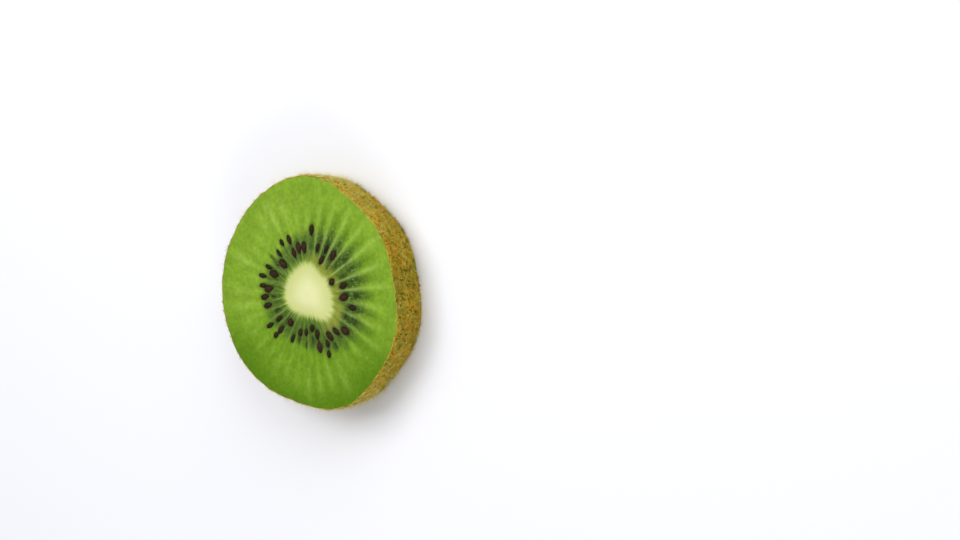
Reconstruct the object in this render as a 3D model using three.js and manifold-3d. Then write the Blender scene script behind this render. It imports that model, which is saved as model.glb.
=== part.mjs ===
/**
 * A thick cross slice of a kiwi fruit, lying on one of its two cut faces.
 *
 * The slice is one solid: flesh, pale core and skin are one tissue, and the seeds that stand
 * proud of the upper cut face are fused to it. Sizes are in millimetres and angles in radians
 * unless a name says otherwise. +Z is up, z = 0 is the lower cut face, and the origin is the
 * middle of the slice's footprint. A bearing is an angle about the fruit's axis, counted
 * counter-clockwise from +X as seen from above. A turn is such an angle in a fruit whose seed
 * chambers stand evenly. Here they crowd together on one side, as crowdedBearing() says.
 */
import * as THREE from 'three';
import { mergeVertices } from 'three/addons/utils/BufferGeometryUtils.js';
import Module from 'manifold-3d';

// The slice and the fruit that it was cut from
const FACE_RADIUS = 25.2; // mean radius of the upper cut face, skin included
const THICKNESS = 9.8; // from the lower cut face to the upper one
const FRUIT_HALF_LENGTH = 32.6; // the uncut fruit, from its widest girth to either end
const CUT_BELOW_GIRTH = 0.6; // the upper cut lies this far from the widest girth

// How the outline departs from a circle: lobes round the fruit, their height, one lobe's angle
const OUTLINE_LOBES = [
  { lobes: 1, height: 0.35, degrees: 98 },
  { lobes: 2, height: 0.12, degrees: 50 },
  { lobes: 3, height: 0.45, degrees: -20 },
  { lobes: 4, height: 0.2, degrees: 6 },
  { lobes: 5, height: 0.12, degrees: -19 },
  { lobes: 6, height: 0.16, degrees: 2 },
  { lobes: 7, height: 0.17, degrees: -16 },
  { lobes: 8, height: 0.07, degrees: 20 },
];

// The seed chambers, which run straight out from the axis
const CHAMBERS = 34;
const FIRST_CHAMBER_DEGREES = -0.8; // turn of chamber 0
const CROWDING = [
  { lobes: 1, degrees: 6.2, from: -79 },
  { lobes: 2, degrees: 1.5, from: 88 },
];

// Relief of the upper cut face, by distance from the axis
const CORE_RADIUS = 6.3;
const CORE_RISE = 0.25; // the firm core stands proud in a low dome
const CHAMBER_START = 7.3;
const CHAMBER_END = 15;
const CHAMBER_FADE = 3; // over this distance the beds come up to the flesh outside them
const CHAMBER_DEPTH = 0.18; // the soft chamber beds lie this far below the walls between them
const RIM_SHARE = 0.93; // beyond this share of the way to the skin the flesh falls away
const RIM_FALL = 0.15;

// Sizes of seed: length along the chamber and width across it
const SHORT = { length: 1.9, width: 1.3 };
const ROUND = { length: 1.95, width: 1.65 };
const SLIM = { length: 2.35, width: 1.15 };
const COMMON = { length: 2.6, width: 1.45 };
const PLUMP = { length: 2.85, width: 1.75 };
const SEED_HEIGHT = 1.1;
const SEED_SINK = 0.12; // a seed's middle lies this far below the flesh round it

// The seeds of the upper face: chamber, distance from the axis, how far aside of the chamber's
// middle as a share of the way to the next chamber, how many degrees the seed is turned from
// pointing at the axis, and size
const SEEDS = [
  [0, 10.2, -0.15, 0, PLUMP], [1, 9.5, -0.2, 0, COMMON], [1, 12.7, -0.15, 4, COMMON],
  [2, 13.1, -0.15, 5, SHORT], [3, 11.8, -0.15, 6, SLIM], [3, 9.4, 0.35, 4, PLUMP],
  [5, 12.6, -0.05, 8, SLIM], [5, 10.6, 0.33, 6, PLUMP], [6, 13.7, 0.05, 8, SLIM],
  [7, 13.3, -0.05, 8, SLIM], [7, 11.6, 0.2, 15, PLUMP], [8, 12.9, 0.05, 8, COMMON],
  [9, 12.4, -0.1, 4, COMMON], [11, 13.7, -0.2, -4, SLIM], [11, 10.5, -0.15, 4, SLIM],
  [12, 13.6, -0.05, -4, SHORT], [12, 11.7, 0, 0, COMMON], [13, 8.4, -0.45, 10, ROUND],
  [14, 11.1, 0, -4, SLIM], [15, 8.9, 0, -14, ROUND], [16, 8.4, 0.15, -10, SHORT],
  [17, 7.4, 0.4, -10, SHORT], [18, 11.7, 0.2, -8, PLUMP], [18, 8.9, 0.25, -12, COMMON],
  [19, 13.9, 0.05, -12, SHORT], [19, 11.7, 0.35, -8, SHORT], [20, 10.5, 0, 20, PLUMP],
  [21, 10.8, 0.05, 14, COMMON], [22, 12.6, -0.15, 14, PLUMP], [24, 12.7, 0, 6, COMMON],
  [25, 10.0, -0.25, 14, PLUMP], [26, 10.2, -0.1, 6, COMMON], [27, 7.4, -0.25, 6, ROUND],
  [29, 11.3, -0.05, 8, PLUMP], [30, 8.5, 0, -14, COMMON], [30, 11.3, -0.05, -6, SLIM],
  [31, 10.6, 0.05, -6, SLIM], [32, 14.1, 0, -5, COMMON], [33, 10.1, 0.03, 0, PLUMP],
];

// Facets
const FACETS_PER_CHAMBER = 3; // one facet edge on the wall between chambers, two in the bed
const FACETS_ROUND = CHAMBERS * FACETS_PER_CHAMBER;
const WALL_BANDS = 4;
const SEED_SIDES = 6;
const SEED_RINGS = 4;
const FACE_RINGS = [0.16, 0.25, 0.34, 0.44, 0.55, 0.66, 0.8, RIM_SHARE]; // shares of the face
const TOUCH = 1e-4; // points closer than this are one point

const FLESH_MATERIAL = new THREE.MeshStandardMaterial({
  color: 0x7ba02c,
  roughness: 0.4,
  metalness: 0,
});

const { degToRad, smoothstep } = THREE.MathUtils;
const CHAMBER_PITCH = (2 * Math.PI) / CHAMBERS;
const FIRST_TURN = degToRad(FIRST_CHAMBER_DEGREES);

const wasm = await Module();
wasm.setup();

/** The bearing at which something at a turn lies. */
function crowdedBearing(turn) {
  return CROWDING.reduce((bearing, wave) => {
    const turned = turn - degToRad(wave.from);
    return bearing + degToRad(wave.degrees) * Math.sin(wave.lobes * turned);
  }, turn);
}

/** Distance from the axis to the edge of the upper cut face, at a bearing. */
function outlineRadius(bearing) {
  return OUTLINE_LOBES.reduce((radius, wave) => {
    const turned = bearing - degToRad(wave.degrees);
    return radius + wave.height * Math.cos(wave.lobes * turned);
  }, FACE_RADIUS);
}

/** Girth at a depth below the upper cut, as a share of the upper cut's own girth. */
function girthShare(depth) {
  const halfWidth = (along) => Math.sqrt(1 - (along / FRUIT_HALF_LENGTH) ** 2);
  return halfWidth(CUT_BELOW_GIRTH + depth) / halfWidth(CUT_BELOW_GIRTH);
}

/** How far the upper cut face rises or sinks at a distance from the axis and a turn. */
function faceRelief(distance, turn) {
  const core = 1 - smoothstep(distance, 0, CORE_RADIUS);
  const outside = smoothstep(distance, CHAMBER_END - CHAMBER_FADE, CHAMBER_END);
  const inChambers = smoothstep(distance, CORE_RADIUS, CHAMBER_START) * (1 - outside);
  const bed = 0.5 + 0.5 * Math.cos(CHAMBERS * (turn - FIRST_TURN));
  const rim = smoothstep(distance / outlineRadius(crowdedBearing(turn)), RIM_SHARE, 1);
  return CORE_RISE * core - CHAMBER_DEPTH * inChambers * bed - RIM_FALL * rim;
}

/** A closed geometry with shared corners, as a solid that can be joined or cut. */
function toSolid(geometry) {
  const bare = geometry.clone();
  bare.deleteAttribute('normal');
  bare.deleteAttribute('uv');
  const merged = mergeVertices(bare, TOUCH);
  const corners = merged.getIndex().array;
  const triangles = [];
  for (let i = 0; i < corners.length; i += 3) {
    const [a, b, c] = corners.subarray(i, i + 3);
    if (a !== b && b !== c && c !== a) triangles.push(a, b, c);
  }
  return new wasm.Manifold(new wasm.Mesh({
    numProp: 3,
    vertProperties: new Float32Array(merged.getAttribute('position').array),
    triVerts: new Uint32Array(triangles),
  }));
}

/** A joined or cut solid, as a geometry for a mesh. */
function toGeometry(solid) {
  const { vertProperties, triVerts } = solid.getMesh();
  const geometry = new THREE.BufferGeometry();
  geometry.setAttribute('position', new THREE.BufferAttribute(vertProperties, 3));
  geometry.setIndex(new THREE.BufferAttribute(triVerts, 1));
  geometry.computeVertexNormals();
  return geometry;
}

/** The slice without its seeds: a turned disc, pressed into the fruit's outline and relief. */
function sliceBody() {
  const profile = [new THREE.Vector2(0, 0)];
  for (let band = 0; band <= WALL_BANDS; band += 1) {
    profile.push(new THREE.Vector2(1, (THICKNESS * band) / WALL_BANDS));
  }
  for (const share of [...FACE_RINGS].reverse()) {
    profile.push(new THREE.Vector2(share, THICKNESS));
  }
  profile.push(new THREE.Vector2(0, THICKNESS));

  const halfFacet = Math.PI / FACETS_ROUND;
  const disc = new THREE.LatheGeometry(profile, FACETS_ROUND, halfFacet);
  disc.rotateX(Math.PI / 2);
  disc.rotateZ(Math.PI / 2 + FIRST_TURN);

  const places = disc.getAttribute('position');
  for (let i = 0; i < places.count; i += 1) {
    const onDisc = new THREE.Vector2(places.getX(i), places.getY(i));
    const height = places.getZ(i);
    const turn = onDisc.angle();
    const bearing = crowdedBearing(turn);
    const distance = onDisc.length() * outlineRadius(bearing);
    const reach = distance * girthShare(THICKNESS - height);
    const rise = height > THICKNESS - TOUCH ? faceRelief(distance, turn) : 0;
    places.setXYZ(i, reach * Math.cos(bearing), reach * Math.sin(bearing), height + rise);
  }
  return toSolid(disc);
}

/** One seed, its long axis near to pointing at the fruit's axis, half sunk in the upper face. */
function seedBody(chamber, distance, aside, degrees, { length, width }) {
  const turn = FIRST_TURN + (chamber + aside) * CHAMBER_PITCH;
  const seed = new THREE.SphereGeometry(0.5, SEED_SIDES, SEED_RINGS);
  seed.rotateZ(-Math.PI / 2);
  seed.scale(length, width, SEED_HEIGHT);
  seed.rotateZ(degToRad(degrees));
  seed.translate(distance, 0, THICKNESS + faceRelief(distance, turn) - SEED_SINK);
  seed.rotateZ(crowdedBearing(turn));
  return toSolid(seed);
}

/** The whole slice as one mesh, with the middle of its footprint at the origin. */
function kiwiSlice() {
  const solid = SEEDS.reduce((whole, seed) => whole.add(seedBody(...seed)), sliceBody());
  const geometry = toGeometry(solid);
  geometry.computeBoundingBox();
  const middle = geometry.boundingBox.getCenter(new THREE.Vector3());
  geometry.translate(-middle.x, -middle.y, 0);
  const mesh = new THREE.Mesh(geometry, FLESH_MATERIAL);
  mesh.name = 'kiwi_slice';
  return mesh;
}

const kiwi = new THREE.Group();
kiwi.add(kiwiSlice());

export default kiwi;
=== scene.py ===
"""Looks of a thick cross slice of kiwi fruit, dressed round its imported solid.

Lengths are in metres and angles in radians unless a name says otherwise. The slice lies on its
lower cut face at z = 0. A bearing is an angle about the fruit's axis, counted counter-clockwise
from +X as seen from above. A turn is such an angle in a fruit whose seed chambers stand evenly.
Here they crowd together on one side, as SliceForm.bearing says.
"""

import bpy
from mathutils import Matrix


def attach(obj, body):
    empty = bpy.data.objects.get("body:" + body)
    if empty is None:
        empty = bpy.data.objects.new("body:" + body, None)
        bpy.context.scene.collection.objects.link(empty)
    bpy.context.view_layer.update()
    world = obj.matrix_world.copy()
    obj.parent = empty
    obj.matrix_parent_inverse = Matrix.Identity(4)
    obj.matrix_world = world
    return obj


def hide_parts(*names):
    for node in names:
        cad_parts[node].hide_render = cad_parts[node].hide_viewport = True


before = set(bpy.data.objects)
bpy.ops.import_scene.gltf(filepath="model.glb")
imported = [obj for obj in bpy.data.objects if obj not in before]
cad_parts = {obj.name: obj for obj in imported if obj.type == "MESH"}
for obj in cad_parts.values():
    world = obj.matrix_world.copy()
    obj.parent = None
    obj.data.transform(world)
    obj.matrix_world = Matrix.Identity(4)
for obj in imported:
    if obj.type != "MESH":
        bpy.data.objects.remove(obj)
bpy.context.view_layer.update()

import logging
import math
from dataclasses import dataclass, field
from enum import Enum
from typing import Sequence

import bmesh
import bpy
import numpy as np
from mathutils import Matrix, Vector, noise

LOG = logging.getLogger("kiwi_slice")
MM = 0.001
NODE = "kiwi_slice"
BODY = "root"

TOUCH = 1e-6  # points closer than this are one point

Colour = tuple[float, float, float]
Numbers = np.ndarray | float
Socket = bpy.types.NodeSocket


class Slot(Enum):
    """Material slots of the slice."""

    FLESH = "flesh"
    SKIN = "skin"
    SEEDS = "seeds"


class Face(Enum):
    """The two cut faces."""

    UPPER = "upper"
    LOWER = "lower"


class SeedSize(Enum):
    """Sizes of seed: length along the chamber, width across it, height."""

    SHORT = (1.9 * MM, 1.3 * MM, 1.0 * MM)
    ROUND = (1.95 * MM, 1.65 * MM, 1.1 * MM)
    SLIM = (2.35 * MM, 1.15 * MM, 1.0 * MM)
    COMMON = (2.6 * MM, 1.45 * MM, 1.1 * MM)
    PLUMP = (2.85 * MM, 1.75 * MM, 1.2 * MM)


def smooth_step(value: Numbers, low: Numbers, high: Numbers) -> Numbers:
    """Rise smoothly from 0 at or below low to 1 at or above high."""
    share = np.clip((value - low) / (high - low), 0.0, 1.0)
    return share * share * (3.0 - 2.0 * share)


def window(value: Numbers, low: Numbers, full: Numbers, fading: Numbers, gone: Numbers) -> Numbers:
    """Rise smoothly from 0 at low to 1 at full, and fall again from fading to 0 at gone."""
    return smooth_step(value, low, full) * (1.0 - smooth_step(value, fading, gone))


# ---------------------------------------------------------------- form


@dataclass(frozen=True)
class Wave:
    """One wave round the fruit: its number of lobes, their height, and where it starts."""

    lobes: int
    height: float
    degrees: float

    def crest(self, angle: np.ndarray) -> np.ndarray:
        """Return the wave at each angle, with a crest at its degrees."""
        return self.height * np.cos(self.lobes * (angle - math.radians(self.degrees)))

    def climb(self, angle: np.ndarray) -> np.ndarray:
        """Return the wave at each angle, climbing through 0 at its degrees."""
        return self.height * np.sin(self.lobes * (angle - math.radians(self.degrees)))


@dataclass(frozen=True)
class SliceForm:
    """Outline, taper, chambers and relief of the slice, as its solid has them."""

    face_radius: float = 25.2 * MM
    thickness: float = 9.8 * MM
    fruit_half_length: float = 32.6 * MM
    cut_below_girth: float = 0.6 * MM
    outline: tuple[Wave, ...] = (
        Wave(1, 0.35 * MM, 98),
        Wave(2, 0.12 * MM, 50),
        Wave(3, 0.45 * MM, -20),
        Wave(4, 0.20 * MM, 6),
        Wave(5, 0.12 * MM, -19),
        Wave(6, 0.16 * MM, 2),
        Wave(7, 0.17 * MM, -16),
        Wave(8, 0.07 * MM, 20),
    )
    nicks: tuple[Wave, ...] = (
        Wave(13, 0.04 * MM, 4),
        Wave(21, 0.03 * MM, 9),
        Wave(34, 0.03 * MM, 3),
        Wave(55, 0.02 * MM, 2),
    )
    chambers: int = 34
    first_chamber_degrees: float = -0.8
    crowding: tuple[Wave, ...] = (
        Wave(1, math.radians(6.2), -79),
        Wave(2, math.radians(1.5), 88),
    )
    core_radius: float = 6.3 * MM
    core_rise: float = 0.25 * MM
    chamber_start: float = 7.3 * MM
    chamber_end: float = 15.0 * MM
    chamber_fade: float = 3.0 * MM
    chamber_depth: float = 0.18 * MM
    rim_share: float = 0.93
    rim_fall: float = 0.15 * MM
    circle_samples: int = 720

    @property
    def pitch(self) -> float:
        """Return the turn from one seed chamber to the next."""
        return 2.0 * math.pi / self.chambers

    @property
    def rim_height(self) -> float:
        """Return the height of the upper face at the skin."""
        return self.thickness - self.rim_fall

    def turn(self, chamber: Numbers) -> Numbers:
        """Return the turn of a chamber's middle, or of a place between two chambers."""
        return math.radians(self.first_chamber_degrees) + chamber * self.pitch

    def chamber(self, turn: np.ndarray) -> np.ndarray:
        """Return the chamber at each turn, as a number with a fraction."""
        return (turn - math.radians(self.first_chamber_degrees)) / self.pitch

    def bearing(self, turn: Numbers) -> Numbers:
        """Return the bearing at which something at each turn lies."""
        return turn + sum(wave.climb(turn) for wave in self.crowding)

    def solid_radius(self, bearing: np.ndarray) -> np.ndarray:
        """Return the distance from the axis to the edge of the solid's upper face."""
        return self.face_radius + sum(wave.crest(bearing) for wave in self.outline)

    def edge_radius(self, bearing: np.ndarray) -> np.ndarray:
        """Return the same distance with the knife's small nicks."""
        return self.solid_radius(bearing) + sum(wave.crest(bearing) for wave in self.nicks)

    def middle(self) -> np.ndarray:
        """Find the origin of the frame.

        Returns:
            The X and Y of the middle of the outline's box, measured from the axis.
        """
        bearing = np.linspace(0.0, 2.0 * math.pi, self.circle_samples, endpoint=False)
        edge = self.solid_radius(bearing)[:, None] * np.stack([np.cos(bearing), np.sin(bearing)], 1)
        return (edge.min(0) + edge.max(0)) / 2.0

    def girth_share(self, height: np.ndarray) -> np.ndarray:
        """Taper the fruit away from its widest girth.

        Args:
            height: Heights above the lower face.

        Returns:
            The girth at each height, as a share of the upper face's girth.
        """
        along = (self.thickness - height + self.cut_below_girth) / self.fruit_half_length
        widest = math.sqrt(1.0 - (self.cut_below_girth / self.fruit_half_length) ** 2)
        return np.sqrt(1.0 - along**2) / widest

    def relief(self, distance: Numbers, turn: Numbers) -> Numbers:
        """Shape the upper face: a domed core, sunk chamber beds and a rim that falls away.

        Args:
            distance: Distance of each point from the axis.
            turn: Turn of each point.

        Returns:
            How far the face rises or sinks at each point.
        """
        core = 1.0 - smooth_step(distance, 0.0, self.core_radius)
        fading = self.chamber_end - self.chamber_fade
        inside = window(distance, self.core_radius, self.chamber_start, fading, self.chamber_end)
        bed = 0.5 + 0.5 * np.cos(2.0 * math.pi * self.chamber(turn))
        rim = smooth_step(distance / self.solid_radius(self.bearing(turn)), self.rim_share, 1.0)
        return self.core_rise * core - self.chamber_depth * inside * bed - self.rim_fall * rim

    def place(self, distance: Numbers, bearing: Numbers, height: Numbers) -> np.ndarray:
        """Carry points to their places in the frame.

        Args:
            distance: Distance of each point from the axis, before the fruit's taper.
            bearing: Bearing of each point.
            height: Height of each point above the lower face.

        Returns:
            The points, one row each.
        """
        reach = distance * self.girth_share(np.clip(height, 0.0, self.thickness))
        middle = self.middle()
        along_x = reach * np.cos(bearing) - middle[0]
        along_y = reach * np.sin(bearing) - middle[1]
        return np.stack([along_x, along_y, height], -1)


# ---------------------------------------------------------------- seeds' places


@dataclass(frozen=True)
class Seed:
    """One seed: its chamber, distance from the axis, share of a chamber aside, turn and size."""

    chamber: int
    distance_mm: float
    aside: float
    degrees: float
    size: SeedSize

    def turn(self, form: SliceForm) -> float:
        """Return the turn at which the seed lies."""
        return form.turn(self.chamber + self.aside)

    @property
    def distance(self) -> float:
        """Return the seed's distance from the axis."""
        return self.distance_mm * MM


SHORT, ROUND, SLIM, COMMON, PLUMP = SeedSize

UPPER_SEEDS = tuple(Seed(*row) for row in (
    (0, 10.2, -0.15, 0, PLUMP), (1, 9.5, -0.2, 0, COMMON), (1, 12.7, -0.15, 4, COMMON),
    (2, 13.1, -0.15, 5, SHORT), (3, 11.8, -0.15, 6, SLIM), (3, 9.4, 0.35, 4, PLUMP),
    (5, 12.6, -0.05, 8, SLIM), (5, 10.6, 0.33, 6, PLUMP), (6, 13.7, 0.05, 8, SLIM),
    (7, 13.3, -0.05, 8, SLIM), (7, 11.6, 0.2, 15, PLUMP), (8, 12.9, 0.05, 8, COMMON),
    (9, 12.4, -0.1, 4, COMMON), (11, 13.7, -0.2, -4, SLIM), (11, 10.5, -0.15, 4, SLIM),
    (12, 13.6, -0.05, -4, SHORT), (12, 11.7, 0, 0, COMMON), (13, 8.4, -0.45, 10, ROUND),
    (14, 11.1, 0, -4, SLIM), (15, 8.9, 0, -14, ROUND), (16, 8.4, 0.15, -10, SHORT),
    (17, 7.4, 0.4, -10, SHORT), (18, 11.7, 0.2, -8, PLUMP), (18, 8.9, 0.25, -12, COMMON),
    (19, 13.9, 0.05, -12, SHORT), (19, 11.7, 0.35, -8, SHORT), (20, 10.5, 0, 20, PLUMP),
    (21, 10.8, 0.05, 14, COMMON), (22, 12.6, -0.15, 14, PLUMP), (24, 12.7, 0, 6, COMMON),
    (25, 10.0, -0.25, 14, PLUMP), (26, 10.2, -0.1, 6, COMMON), (27, 7.4, -0.25, 6, ROUND),
    (29, 11.3, -0.05, 8, PLUMP), (30, 8.5, 0, -14, COMMON), (30, 11.3, -0.05, -6, SLIM),
    (31, 10.6, 0.05, -6, SLIM), (32, 14.1, 0, -5, COMMON), (33, 10.1, 0.03, 0, PLUMP),
))

# Seeds just under the upper face, which show only as shades in the flesh
SUNK_SEEDS = tuple(Seed(*row) for row in (
    (4, 12.8, -0.15, 0, SLIM), (4, 10.8, 0.05, 0, SLIM), (8, 10.2, 0.05, 0, SHORT),
    (10, 10.0, -0.1, 0, COMMON), (12, 9.0, 0, 0, SLIM), (15, 10.5, 0, 0, SLIM),
    (16, 11.3, 0.2, 0, SLIM), (17, 10.2, 0.3, 0, COMMON), (20, 13.2, 0.1, 0, COMMON),
    (23, 11.3, 0.05, 0, COMMON), (23, 14.0, 0.05, 8, COMMON), (25, 14.1, -0.05, 0, SLIM),
    (27, 11.1, -0.2, 0, SLIM), (28, 13.3, -0.2, 0, COMMON), (29, 8.7, -0.25, 0, COMMON),
    (31, 12.8, -0.15, 0, SHORT),
))

# The lower face shows other seeds of the same chambers
LOWER_TURN = 7
LOWER_SEEDS = tuple(
    Seed(seed.chamber + LOWER_TURN, seed.distance_mm, -seed.aside, -seed.degrees, seed.size)
    for seed in UPPER_SEEDS
)


# ---------------------------------------------------------------- meshes


def new_piece(name: str, work: bmesh.types.BMesh) -> bpy.types.Object:
    """Turn a bmesh into a smooth-shaded object of the scene.

    Args:
        name: The piece's name.
        work: Its shape, which is freed.

    Returns:
        The piece.
    """
    mesh = bpy.data.meshes.new(name)
    work.to_mesh(mesh)
    work.free()
    return link_piece(name, mesh)


def link_piece(name: str, mesh: bpy.types.Mesh) -> bpy.types.Object:
    """Shade a mesh smooth and put it in the scene.

    Args:
        name: The piece's name.
        mesh: Its mesh.

    Returns:
        The piece.
    """
    mesh.polygons.foreach_set("use_smooth", [True] * len(mesh.polygons))
    piece = bpy.data.objects.new(name, mesh)
    bpy.context.scene.collection.objects.link(piece)
    return piece


def spin_profile(
    profile: Sequence[tuple[float, float]], steps: int, closed: bool
) -> bmesh.types.BMesh:
    """Spin a half section about the Z axis.

    Args:
        profile: Distance from the axis and height of each corner of the section.
        steps: Number of steps in the full turn.
        closed: Whether the section's last corner joins its first.

    Returns:
        The spun surface, with its seam and poles merged.
    """
    work = bmesh.new()
    corners = [work.verts.new((reach, 0.0, height)) for reach, height in profile]
    edges = [work.edges.new(pair) for pair in zip(corners, corners[1:])]
    if closed:
        edges.append(work.edges.new((corners[-1], corners[0])))
    bmesh.ops.spin(
        work, geom=corners + edges, cent=(0, 0, 0), axis=(0, 0, 1),
        angle=2.0 * math.pi, steps=steps, use_merge=True, use_duplicate=False,
    )
    bmesh.ops.remove_doubles(work, verts=work.verts, dist=TOUCH)
    bmesh.ops.recalc_face_normals(work, faces=work.faces)
    return work


def points_of(mesh: bpy.types.Mesh) -> np.ndarray:
    """Read where a mesh's points are.

    Args:
        mesh: The mesh.

    Returns:
        The points, one row each.
    """
    flat = np.empty(len(mesh.vertices) * 3, np.float32)
    mesh.vertices.foreach_get("co", flat)
    return flat.reshape(-1, 3).astype(float)


def move_points(mesh: bpy.types.Mesh, points: np.ndarray) -> None:
    """Give a mesh's points new places."""
    mesh.vertices.foreach_set("co", points.astype(np.float32).ravel())
    mesh.update()


def store(mesh: bpy.types.Mesh, name: str, values: np.ndarray) -> None:
    """Keep a number or a vector for each point of a mesh.

    Args:
        mesh: The mesh.
        name: The name of the new attribute.
        values: One number, or one row of three, for each point.
    """
    kind, key = ("FLOAT", "value") if values.ndim == 1 else ("FLOAT_VECTOR", "vector")
    layer = mesh.attributes.new(name, kind, "POINT")
    layer.data.foreach_set(key, values.astype(np.float32).ravel())


def noise_at(points: np.ndarray, scale: float) -> np.ndarray:
    """Return smooth noise from -1 to 1 at each point, with features of 1 / scale."""
    return np.array([noise.noise(Vector(point)) for point in points * scale])


def repeat_template(
    name: str, template: bmesh.types.BMesh, places: np.ndarray, tints: np.ndarray
) -> bpy.types.Object:
    """Join many placed copies of one small template into a piece.

    Args:
        name: The piece's name.
        template: The small shape, which is freed.
        places: The points of each copy, as copies by points by three.
        tints: One number for each copy, kept as the attribute tint.

    Returns:
        The joined piece.
    """
    faces = [[corner.index for corner in face.verts] for face in template.faces]
    count = len(template.verts)
    template.free()
    copies = range(len(places))
    joined = [[corner + copy * count for corner in face] for copy in copies for face in faces]
    mesh = bpy.data.meshes.new(name)
    mesh.from_pydata(places.reshape(-1, 3), [], joined)
    store(mesh, "tint", np.repeat(tints, count))
    return link_piece(name, mesh)


# ---------------------------------------------------------------- finishes


class Shader:
    """A material's nodes, with one method for each kind that the finishes use."""

    def __init__(self, name: str) -> None:
        """Start a material with only a Principled shader and its output.

        Args:
            name: The material's name.
        """
        self.material = bpy.data.materials.new(name)
        self.material.use_nodes = True
        self.tree = self.material.node_tree
        self.surface = self.tree.nodes["Principled BSDF"]

    def _feed(self, socket: Socket, value: object) -> None:
        """Link a socket to another, or set its value.

        Args:
            socket: The socket.
            value: The other socket, a colour or another value.
        """
        if isinstance(value, bpy.types.NodeSocket):
            self.tree.links.new(value, socket)
        elif isinstance(value, tuple) and socket.type == "RGBA":
            socket.default_value = (*value, 1.0)
        else:
            socket.default_value = value

    def set(self, **values: object) -> None:
        """Set or link inputs of the Principled shader, with _ for a space in their names."""
        for key, value in values.items():
            self._feed(self.surface.inputs[key.replace("_", " ")], value)

    def _node(self, kind: str, inputs: dict[str | int, object], **settings: object) -> bpy.types.Node:
        """Add a node.

        Args:
            kind: The node's kind.
            inputs: What to link to its inputs, or set them to, by name or number.
            settings: Its own settings, which are made first.

        Returns:
            The node.
        """
        node = self.tree.nodes.new(f"ShaderNode{kind}")
        for key, value in settings.items():
            setattr(node, key, value)
        for key, value in inputs.items():
            self._feed(node.inputs[key], value)
        return node

    def attribute(self, name: str, output: str = "Fac") -> Socket:
        """Read an attribute of the piece."""
        return self._node("Attribute", {}, attribute_name=name).outputs[output]

    def position(self) -> Socket:
        """Read the Object coordinates."""
        return self._node("TexCoord", {}).outputs["Object"]

    def noise(self, vector: Socket, scale: float, detail: float = 2.0, rough: float = 0.5) -> Socket:
        """Return noise from 0 to 1."""
        inputs = {"Vector": vector, "Scale": scale, "Detail": detail, "Roughness": rough}
        return self._node("TexNoise", inputs).outputs["Fac"]

    def cells(self, vector: Socket, scale: float) -> Socket:
        """Return the distance to the nearest of scattered spots."""
        return self._node("TexVoronoi", {"Vector": vector, "Scale": scale}).outputs["Distance"]

    def math(self, operation: str, first: object, second: object, clamp: bool = False) -> Socket:
        """Combine two numbers."""
        node = self._node("Math", {0: first, 1: second}, operation=operation, use_clamp=clamp)
        return node.outputs[0]

    def span(
        self, value: Socket, low: float, high: float, start: float = 0.0, end: float = 1.0
    ) -> Socket:
        """Map the span from low to high smoothly onto start to end, and hold its ends."""
        inputs = {"Value": value, "From Min": low, "From Max": high, "To Min": start, "To Max": end}
        return self._node("MapRange", inputs, interpolation_type="SMOOTHSTEP").outputs["Result"]

    def mix(self, share: object, first: object, second: object) -> Socket:
        """Mix two colours by a share from 0 to 1."""
        return self._node("Mix", {0: share, 6: first, 7: second}, data_type="RGBA").outputs[2]

    def tone(self, colour: object, value: object) -> Socket:
        """Change a colour's brightness."""
        return self._node("HueSaturation", {"Value": value, "Color": colour}).outputs["Color"]

    def ramp(self, share: Socket, colours: Sequence[Colour]) -> Socket:
        """Run evenly through colours.

        Args:
            share: A number from 0 at the first colour to 1 at the last.
            colours: Two colours or more.

        Returns:
            The colour.
        """
        node = self._node("ValToRGB", {"Fac": share})
        steps = node.color_ramp.elements
        while len(steps) < len(colours):
            steps.new(0.5)
        for index, colour in enumerate(colours):
            steps[index].position = index / (len(colours) - 1)
            steps[index].color = (*colour, 1.0)
        return node.outputs["Color"]

    def bump(self, height: Socket, depth: float, under: Socket | None = None) -> Socket:
        """Turn a height from 0 to 1 into a bump.

        Args:
            height: The height.
            depth: How deep the bump is, in metres.
            under: The Normal of a bump that it lies over, if any.

        Returns:
            The Normal.
        """
        inputs = {"Height": height, "Distance": depth}
        if under is not None:
            inputs["Normal"] = under
        return self._node("Bump", inputs).outputs["Normal"]


@dataclass(frozen=True)
class FleshFinish:
    """Moist green flesh: a cream core, a dark band of seed chambers, pale walls and rays."""

    # The flesh's paler and deeper greens. Part of the change from one to the other across the face is
    # painted light and painted shade.
    light: Colour = (0.199, 0.336, 0.024)
    deep: Colour = (0.133, 0.259, 0.011)
    # Darker green at the rim: partly the flesh's own, partly painted shade on the deep side
    shade: Colour = (0.084, 0.186, 0.005)
    streak: Colour = (0.075, 0.180, 0.003)
    ray: Colour = (0.276, 0.425, 0.060)
    band: Colour = (0.060, 0.112, 0.014)
    thread: Colour = (0.190, 0.270, 0.070)
    pulp: Colour = (0.026, 0.058, 0.007)
    olive: Colour = (0.240, 0.278, 0.032)
    wall: Colour = (0.275, 0.390, 0.125)
    # Painted glints of the moist surface
    glint: Colour = (0.330, 0.450, 0.180)
    core: Colour = (0.690, 0.702, 0.372)
    core_outer: Colour = (0.540, 0.576, 0.224)
    # Dark of seeds under the surface, and painted shadow round the seeds on it
    sunk_seeds_and_shadow: Colour = (0.018, 0.022, 0.006)
    roughness: float = 0.42
    specular: float = 0.07
    subsurface: float = 0.12
    subsurface_radius: Colour = (0.6, 1.0, 0.25)
    subsurface_scale: float = 0.4 * MM

    def material(self) -> bpy.types.Material:
        """Build the material."""
        return FleshShader(self).build()


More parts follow.
